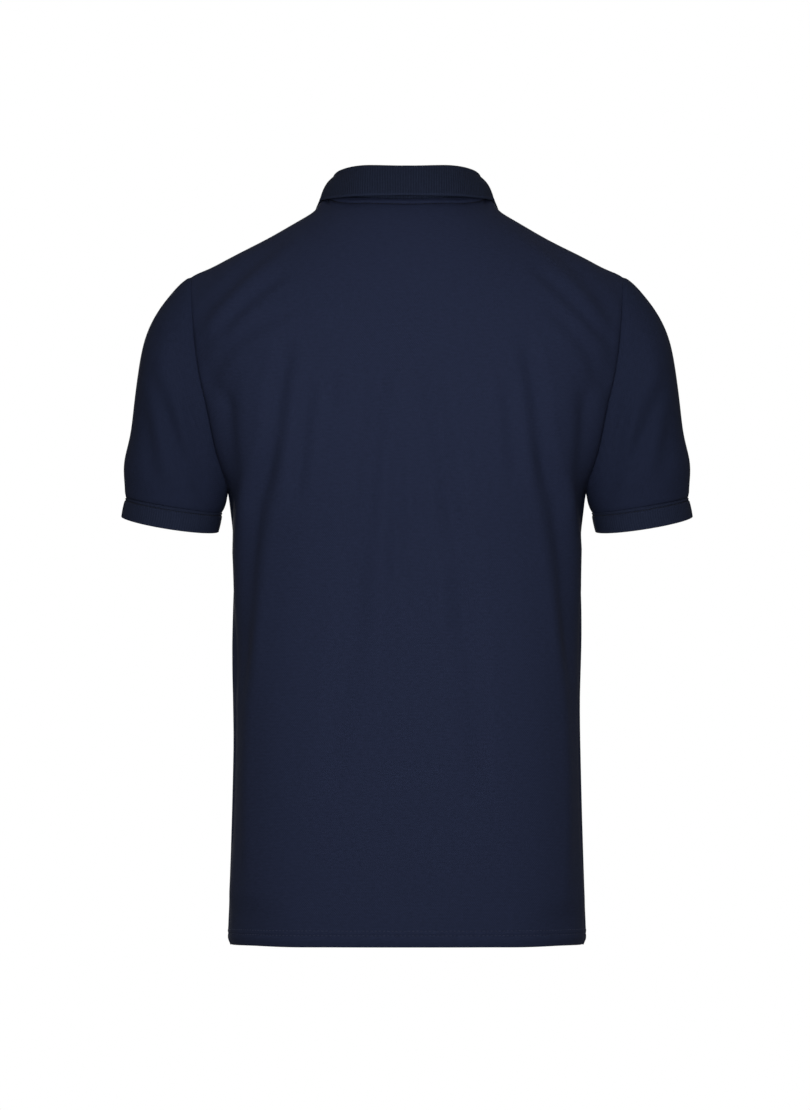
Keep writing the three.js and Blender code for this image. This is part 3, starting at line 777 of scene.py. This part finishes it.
def dressed_panel(side, share, row):
    """A panel's points with its folds, its turned-up hem and its seams drawn in."""
    share, row = np.broadcast_arrays(share, row)
    points = panel(side, share, row)
    facing = 1 if side == "back" else -1
    upper = smooth((row - OWN_NORMALS) / OWN_NORMALS_OVER)[..., None]
    out = body_normals(side, points) * (1 - upper) - normals(points) * facing * upper
    out /= np.linalg.norm(out, axis=-1, keepdims=True)
    x, z = points[..., 0], points[..., 2]
    ring = np.abs(share)
    beside = (1 - ring) * HALF_GIRTH
    height = fold_height(side, x, z) * np.clip((3 - row) * 4, 0, 1) * smooth(beside / SEAM_FREE)
    above = z - HEM
    height += HEM_RAISED * (1 - smooth((above - HEM_DEPTH + 0.6) / 1.4)) * (row < 1)
    for stitched in HEM_STITCHES:
        height -= HEM_LINE[0] * bell(above - stitched, HEM_LINE[1]) * (row < 1)
    height -= SIDE_LINE[0] * bell(beside, SIDE_LINE[1])
    left = np.linalg.norm(panel(side, share, np.full(row.shape, 3.0)) - points, axis=-1)
    at_neck = (row > 2) * smooth((NECK_SHARE + 0.02 - ring) / 0.03)
    at_shoulder = (row > 2) * (1 - smooth((NECK_SHARE + 0.02 - ring) / 0.03))
    height -= SHOULDER_LINE[0] * at_shoulder * bell(left, SHOULDER_LINE[1])
    line = NECK_STITCHES + neck_drop(side, x)
    height += NECK_RAISED * at_neck * (1 - smooth((left - line) / NECK_STEP))
    height -= NECK_GROOVE * at_neck * bell(left - line - NECK_STEP, NECK_GROOVE_WIDE)
    points = points + out * height[..., None]
    climb = bell(np.abs(x) - CLIMB_OUT, CLIMB_WIDE) * bell(left, LIFT_FADE)
    points[..., 2] += NECK_CLIMB * (at_shoulder + at_neck) * climb
    corner = smooth((np.abs(x) - CORNER_FROM) / CORNER_OVER)
    middle, end = NECK_OVERLAP[side]
    overlap = middle + (end - middle) * corner
    points[..., 2] += overlap * at_neck * (1 - smooth(left / (5.5 + 17 * corner)))
    points[..., 2] += tip_lift(x, left) * (row > 1)
    puff = smooth(1 - beside / PUFF_WIDE)
    points[..., 1] += facing * PUFF[side] * seam_lift(z) * puff
    # The back's side edge goes under the front's, below the armhole
    if side == "back":
        tucked = ((ring > 0.9999) & (row <= 1))[..., None]
        tuck = np.stack((np.sign(x) * TUCK_IN, 0 * x + TUCK_AHEAD, 0 * x), axis=-1)
        points = points - tucked * tuck
    return points, out


def make_panel(side):
    share, row = panel_shares(side == "front"), panel_rows()
    points, out = dressed_panel(side, share[None, :], row[:, None])
    slot = None
    if side == "front":
        low = int(np.argmin(np.abs(row - SLOT_ROW)))
        first = int(np.argmin(np.abs(share + SLOT_SHARE)))
        slot = (low, first, len(share) - 1 - first)
    mesh = cloth_mesh(side, points, slot=slot, flip=side == "back")
    made = give_wall(piece(f"{side}_cloth", mesh, PIQUE, side), CLOTH)
    return made, points, out


# Sleeves and cuffs

def around_value(key, turn):
    """A value of SET_OFF at a turn round the sleeve, between its top, side and under values."""
    top, side, under = SET_OFF[key]
    c = np.cos(turn)
    return side + (top - under) / 2 * c + ((top + under) / 2 - side) * c * c


def armhole(turn):
    """The armhole seam, by the turn from the shoulder round by the back, on the left."""
    turn = np.mod(turn, 2 * math.pi)
    rise = np.abs(math.pi - turn)
    upper = 2 + (rise - CHEST_TURN) / (math.pi - CHEST_TURN)
    row = np.where(rise < CHEST_TURN, 1 + rise / CHEST_TURN, upper)
    behind = panel("back", np.ones_like(row), row)
    ahead = panel("front", np.ones_like(row), row)
    return np.where((turn <= math.pi)[..., None], behind, ahead)


def ring(size, turn):
    """Points of one of the cuff's rings."""
    x, y = size["across"] * np.cos(turn), size["deep"] * np.sin(turn)
    z = size["z"] + size["lean_x"] * x - size["lean_y"] * y
    return np.stack((size["x"] + x, size["y"] + y, z), axis=-1)


def sleeve_points(turn, along):
    """Smooth points of the left sleeve, along from the armhole seam to the cuff."""
    way = np.stack((around_value("x", turn), 0.2 * np.sin(turn), around_value("z", turn)), axis=-1)
    way /= np.linalg.norm(way, axis=-1, keepdims=True)
    seam = armhole(turn)
    side = np.where(turn < math.pi, PUFF["back"], -PUFF["front"])
    lift = np.stack((0 * turn, side * seam_lift(seam[:, 2]), 0 * turn), axis=-1)
    lift[:, 2] = tip_lift(seam[:, 0], np.linalg.norm(seam - seam[0], axis=-1))
    a = seam - np.array((0.96, 0, -0.28)) * 0.6 + lift
    b = a + way * around_value("start", turn)[..., None] - lift * 0.5
    d = ring(CUFF_SEAM, turn) - CUFF_WAY * 0.1
    c = d - CUFF_WAY * around_value("end", turn)[..., None]
    t = np.broadcast_to(along[:, None], (len(along), len(turn)))
    return bezier(a[None], b[None], c[None], d[None], t)


def bulge(run, size):
    """A bump of a height, at a distance along and of a half width."""
    high, middle, wide = size
    return high * bell(run - middle, wide)


def make_sleeve(half):
    turn = np.linspace(0, 2 * math.pi, 225)
    along = np.concatenate((
        np.linspace(0, 0.1, 12), np.linspace(0.1, 0.94, 82)[1:], np.linspace(0.94, 1, 10)[1:],
    ))
    points = sleeve_points(turn, along)
    out = -normals(points, closed=True)
    x = points[..., 0] * (1 if half == "left" else -1)
    level = np.sin(turn)[None, :] ** 2 * np.clip((1 - along) * 6, 0, 1)[:, None]
    level = level * np.clip(along * 5, 0, 1)[:, None]
    height = fold_height("sleeve", x, points[..., 2]) * level
    run = lengths(points, 0)
    on_top = np.clip(np.cos(turn), 0, 1)[None, :]
    puff = bulge(run, SLEEVE_HEAD) * smooth(run / 5) + bulge(run, SLEEVE_MIDDLE)
    height = height - ARMHOLE_LINE[0] * bell(run, ARMHOLE_LINE[1]) + puff * on_top
    left = run[-1] - run
    outer = 0.35 + 0.65 * on_top
    under = np.clip(-np.cos(turn), 0, 1)[None, :] ** 2
    height = height - CUFF_LINE[0] * bell(left, CUFF_LINE[1]) + outer * bulge(left, SLEEVE_OUTER)
    height = height + under * bulge(left, SLEEVE_UNDER)
    points = points + out * height[..., None]
    if half == "right":
        points = points * np.array((-1, 1, 1))
    mesh = cloth_mesh(f"sleeve_{half}", points, closed=True, flip=half == "left")
    made = piece(f"sleeve_cloth_{half}", mesh, SLEEVE_PIQUE_PAINTED_SHADE, f"sleeve_{half}")
    return give_wall(made, CLOTH)


def cuff_points(turn, along):
    """Points of the left cuff and its ways out. Below 0 along, it is turned into the sleeve."""
    top = ring(CUFF_SEAM, turn) + CUFF_WAY * 0.1
    low = ring(CUFF_EDGE, turn)
    t = along[:, None, None]
    points = top * (1 - t) + low * t
    middle = np.stack([CUFF_SEAM[k] * (1 - along) + CUFF_EDGE[k] * along for k in "xy"], axis=-1)
    out = points[..., :2] - middle[:, None, :]
    out = np.concatenate((out, np.zeros(out.shape[:2] + (1,))), axis=-1)
    out /= np.linalg.norm(out, axis=-1, keepdims=True)
    turned_in = along < 0
    points = points - CUFF_WAY * np.where(turned_in, along * CUFF_DEPTH * 0.3, 0)[:, None, None]
    down = along * CUFF_DEPTH
    swell = 0.5 * np.sin(math.pi * np.maximum(along, 0)) - 0.9 * bell(np.maximum(down, 0), 1)
    swell -= 1.2 * bell(down - CUFF_STITCHES, 0.7) + np.where(turned_in, 0.7, 0)
    return points + out * swell[:, None, None], out


def make_cuff(half):
    turn = np.linspace(0, 2 * math.pi, 181)
    along = np.concatenate(([-0.12, -0.03], np.linspace(0, 1, 41)))
    points, out = cuff_points(turn, along)
    if half == "right":
        points = points * np.array((-1, 1, 1))
        out = out * np.array((-1, 1, 1))
    mesh = cloth_mesh(f"cuff_{half}", points, closed=True, flip=half == "left")
    made = give_wall(piece(f"cuff_rib_{half}", mesh, RIBBED, f"cuff_{half}"), RIB)
    row = int(np.argmin(np.abs(along * CUFF_DEPTH - CUFF_STITCHES)))
    stitches(f"cuff_stitches_{half}", points[row], out[row], CUFF_STITCH, THREAD_PAINTED_SHADE)
    return made


# Collar

def neck_seam(turn):
    """Points of the neck seam's left half, by the turn about the neck from behind."""
    share = NECK_SHARE * np.sin(turn)
    behind = panel("back", share, np.full_like(share, 3.0))
    ahead = panel("front", share, np.full_like(share, 3.0))
    return np.where((turn <= math.pi / 2)[..., None], behind, ahead)


def collar_points(turns, places):
    """Points of the collar's middle layer: 0 to 1 is the stand, to 2 the roll, to 3 the fall."""
    degrees = np.abs(turns)
    angle = np.radians(degrees)
    seam = neck_seam(angle)
    ahead = neck_seam(angle + 0.01) - neck_seam(np.maximum(angle - 0.01, 0))
    ahead /= np.linalg.norm(ahead, axis=-1, keepdims=True)
    out = np.stack((-ahead[:, 1], ahead[:, 0], 0 * angle), axis=-1)
    out /= np.linalg.norm(out, axis=-1, keepdims=True)
    out *= np.where((out * seam)[:, :2].sum(axis=-1) < 0, -1, 1)[:, None]
    up = np.cross(out, ahead)
    up /= np.linalg.norm(up, axis=-1, keepdims=True)
    up *= np.where(up[:, 2] < 0, -1, 1)[:, None]
    high = read(COLLAR_STAND, degrees, 1)[:, None]
    lean = read(COLLAR_STAND, degrees, 2)[:, None]
    foot = seam - up * FOOT_DOWN - out * FOOT_IN
    roll_in = seam + up * (high - ROLL_BELOW) - out * lean
    roll_out = roll_in + out * ROLL_ACROSS - up * ROLL_DROP
    edge = np.stack([read(COLLAR_FALL, degrees, k) for k in (1, 2, 3)], axis=-1)
    side = (smooth((degrees - 45) / 35) * (1 - smooth((degrees - 105) / 30)))[:, None]
    near, far, high_up = (BELLY[k] + BELLY_SIDES[k] * side for k in ("place", "out", "up"))
    belly = roll_out * near + edge * (1 - near) + out * far + up * high_up
    mirror = np.where(turns < 0, -1, 1)[:, None] ** np.array((1, 0, 0))
    made = []
    for place in places:
        if place <= 1:
            row = foot * (1 - place) + roll_in * place
        elif place <= 2:
            over = math.pi * (place - 1)
            share = (1 - math.cos(over)) / 2
            row = roll_in * (1 - share) + roll_out * share + up * ROLL_OVER * math.sin(over)
        else:
            t = place - 2
            row = roll_out * (1 - t) ** 2 + belly * 2 * t * (1 - t) + edge * t * t
        made.append(row * mirror)
    return np.array(made)


def make_collar():
    turns = np.linspace(-COLLAR_END, COLLAR_END, 361)
    places = np.concatenate((
        np.linspace(0, 1, 12), np.linspace(1, 2, 9)[1:], np.linspace(2, 3, 18)[1:],
    ))
    points = collar_points(turns, places)
    run = lengths(points, 0)
    raised = COLLAR_EDGE_RAISED * smooth((COLLAR_EDGE + 0.6 - (run[-1] - run)) / 1.2)
    points = points + normals(points) * raised[..., None]
    mesh = cloth_mesh("collar", points, from_last=True)
    made = piece("collar_rib", mesh, EDGED_RIB, "collar")
    give_wall(made, RIB).modifiers["wall"].offset = 0
    return made


# Placket and buttons

def make_band(name, raised, node):
    """One band of the placket, raised off the front's smooth form."""
    inset = SLOT_SHARE - 0.0022
    share = np.linspace(-inset, inset, BAND_COLUMNS)[None, :]
    low = np.linspace(SLOT_ROW + 0.005, 2, BAND_ROWS)
    row = np.concatenate((low, np.linspace(2, 3 - 0.0035, BAND_ROWS)[1:]))[:, None]
    points, out = dressed_panel("front", share, row)
    points = points + out * raised
    mesh = cloth_mesh(name, points)
    made = give_wall(piece(name, mesh, PIQUE, node), CLOTH)
    return made, points, out


def make_button(name, row):
    """A button on the placket, with the thread that shows in and between its four holes."""
    share = np.array([[-0.01, 0, 0.01]])
    rows = np.array([[row - 0.02], [row], [row + 0.02]])
    points, out = dressed_panel("front", share, rows)
    seat = Vector(points[1, 1] + out[1, 1] * (BAND_RAISED + BUTTON_OFF))
    turn = Vector((0, 0, 1)).rotation_difference(Vector(out[1, 1])).to_matrix().to_4x4()
    disc = bmesh.new()
    verts = [disc.verts.new((x, 0, z)) for x, z in BUTTON_PROFILE]
    edges = [disc.edges.new(pair) for pair in zip(verts, verts[1:])]
    bmesh.ops.spin(
        disc, geom=verts + edges, cent=(0, 0, 0), axis=(0, 0, 1),
        angle=2 * math.pi, steps=40, use_merge=True, use_duplicate=False,
    )
    bmesh.ops.remove_doubles(disc, verts=disc.verts, dist=0.001)
    bmesh.ops.recalc_face_normals(disc, faces=disc.faces)
    thread = bmesh.new()
    for x in (-HOLE_OUT, HOLE_OUT):
        for y in (-HOLE_OUT, HOLE_OUT):
            hole = bmesh.ops.create_icosphere(thread, subdivisions=2, radius=HOLE_RADIUS)
            bmesh.ops.scale(thread, vec=(1, 1, 0.3), verts=hole["verts"])
            bmesh.ops.translate(thread, vec=(x, y, HOLE_HEIGHT), verts=hole["verts"])
        bar = bmesh.ops.create_icosphere(thread, subdivisions=2, radius=0.5)
        bmesh.ops.scale(thread, vec=(0.9, 3.2, 0.9), verts=bar["verts"])
        bmesh.ops.translate(thread, vec=(x, 0, THREAD_HEIGHT), verts=bar["verts"])
    for bm in (disc, thread):
        bmesh.ops.transform(bm, matrix=turn, verts=bm.verts)
        bmesh.ops.translate(bm, vec=seat, verts=bm.verts)
    piece(f"{name}_disc", small_mesh(name, disc), BUTTON, name)
    piece(f"{name}_thread", small_mesh(f"{name}_thread", thread), THREAD_PAINTED_SHADE)


def neck_line(points, out):
    """The neck edge's sewn line on the back's net of points, with its ways out."""
    shares, rows = panel_shares(False), panel_rows()
    path, outs = [], []
    for column in np.flatnonzero(np.abs(shares) <= NECK_SHARE):
        smooth_column = panel("back", np.full_like(rows, shares[column]), rows)
        left = np.linalg.norm(smooth_column[-1] - smooth_column, axis=-1)[::-1]
        place = NECK_STITCHES + NECK_STEP + neck_drop("back", smooth_column[-1, 0])
        path.append(point_at(place, left, points[::-1, column]))
        outs.append(point_at(place, left, out[::-1, column]))
    return np.array(path), np.array(outs)


# The pieces

back, back_points, back_out = make_panel("back")
front, front_points, front_out = make_panel("front")
sleeves = {half: make_sleeve(half) for half in ("left", "right")}
cuffs = {half: make_cuff(half) for half in ("left", "right")}
collar = make_collar()
band_upper, upper_net, upper_out = make_band("placket_band_upper", BAND_RAISED, "placket_upper")
band_lower, _, _ = make_band("placket_band_lower", BAND_RAISED - BAND_APART, "placket_lower")
for name, row in BUTTON_ROWS.items():
    make_button(name, row)

stitches("neck_stitches", *neck_line(back_points, back_out), NECK_STITCH, THREAD_PAINTED_SHADE, lift=0.35)
for number, column in enumerate((1, -2)):
    path, outs = upper_net[:, column], upper_out[:, column]
    stitches(f"placket_stitches_{number}", path, outs, PLACKET_STITCH, THREAD)
for number, row in enumerate((1, 4)):
    path, outs = upper_net[row, 1:-1], upper_out[row, 1:-1]
    stitches(f"placket_foot_stitches_{number}", path, outs, PLACKET_STITCH, THREAD)
above_hem = (CROTCH - HEM) * panel_rows()
for number, stitched in enumerate(HEM_STITCHES):
    row = int(np.argmin(np.abs(above_hem - stitched)))
    stitches(f"hem_stitches_back_{number}", back_points[row], back_out[row], HEM_STITCH, THREAD)
    stitches(f"hem_stitches_front_{number}", front_points[row], front_out[row], HEM_STITCH, THREAD)


# Camera, light and floor

def look_from(made, place, target):
    made.location = place
    made.rotation_euler = (Vector(target) - Vector(place)).to_track_quat("-Z", "Y").to_euler()


def white_to_camera(tree, lit, white, output):
    """Feed an output: the first shader takes part in the light, the camera sees the white one."""
    seen = Wire(tree).node("ShaderNodeLightPath")
    both = Wire(tree).node("ShaderNodeMixShader", None, {0: seen, 1: lit, 2: white})
    tree.links.new(both.socket, tree.nodes[output].inputs["Surface"])


camera = bpy.data.objects.new("camera", bpy.data.cameras.new("camera"))
bpy.context.scene.collection.objects.link(camera)
camera.data.sensor_width = SENSOR
camera.data.lens = SENSOR * VIEW_DISTANCE / FRAME_HEIGHT
camera.data.clip_end = 200
look_from(camera, (VIEW_ACROSS, VIEW_DISTANCE, VIEW_HEIGHT), (VIEW_ACROSS, 0, VIEW_HEIGHT))
bpy.context.scene.camera = camera

for name, (place, size, power) in LIGHTS.items():
    lamp = bpy.data.objects.new(name, bpy.data.lights.new(name, "AREA"))
    lamp.data.shape = "DISK"
    lamp.data.size = size
    lamp.data.energy = power
    look_from(lamp, place, LIGHT_TARGET)
    bpy.context.scene.collection.objects.link(lamp)

world = bpy.data.worlds.new("white")
bpy.context.scene.world = world
world.use_nodes = True
sky = world.node_tree
ambient = Wire(sky).node("ShaderNodeBackground", None, {"Color": WHITE, "Strength": AMBIENT})
shown = Wire(sky).node("ShaderNodeBackground", None, {"Color": WHITE, "Strength": 1.0})
white_to_camera(sky, ambient, shown, "World Output")

floor_mesh = bmesh.new()
bmesh.ops.create_grid(floor_mesh, x_segments=1, y_segments=1, size=FLOOR_HALF)
bmesh.ops.translate(floor_mesh, vec=(0, 0, FLOOR_HEIGHT), verts=floor_mesh.verts)
floor_data = bpy.data.meshes.new("floor")
floor_mesh.to_mesh(floor_data)
floor_mesh.free()
floor = bpy.data.objects.new("floor", floor_data)
bpy.context.scene.collection.objects.link(floor)
pale = bpy.data.materials.new("pale_floor")
pale.use_nodes = True
tree = pale.node_tree
matt = Wire(tree).node("ShaderNodeBsdfDiffuse", None, {"Color": FLOOR_TONE})
glow = Wire(tree).node("ShaderNodeEmission", None, {"Color": WHITE, "Strength": 1.0})
white_to_camera(tree, matt, glow, "Material Output")
floor.data.materials.append(pale)

bpy.context.scene.view_settings.view_transform = "Standard"
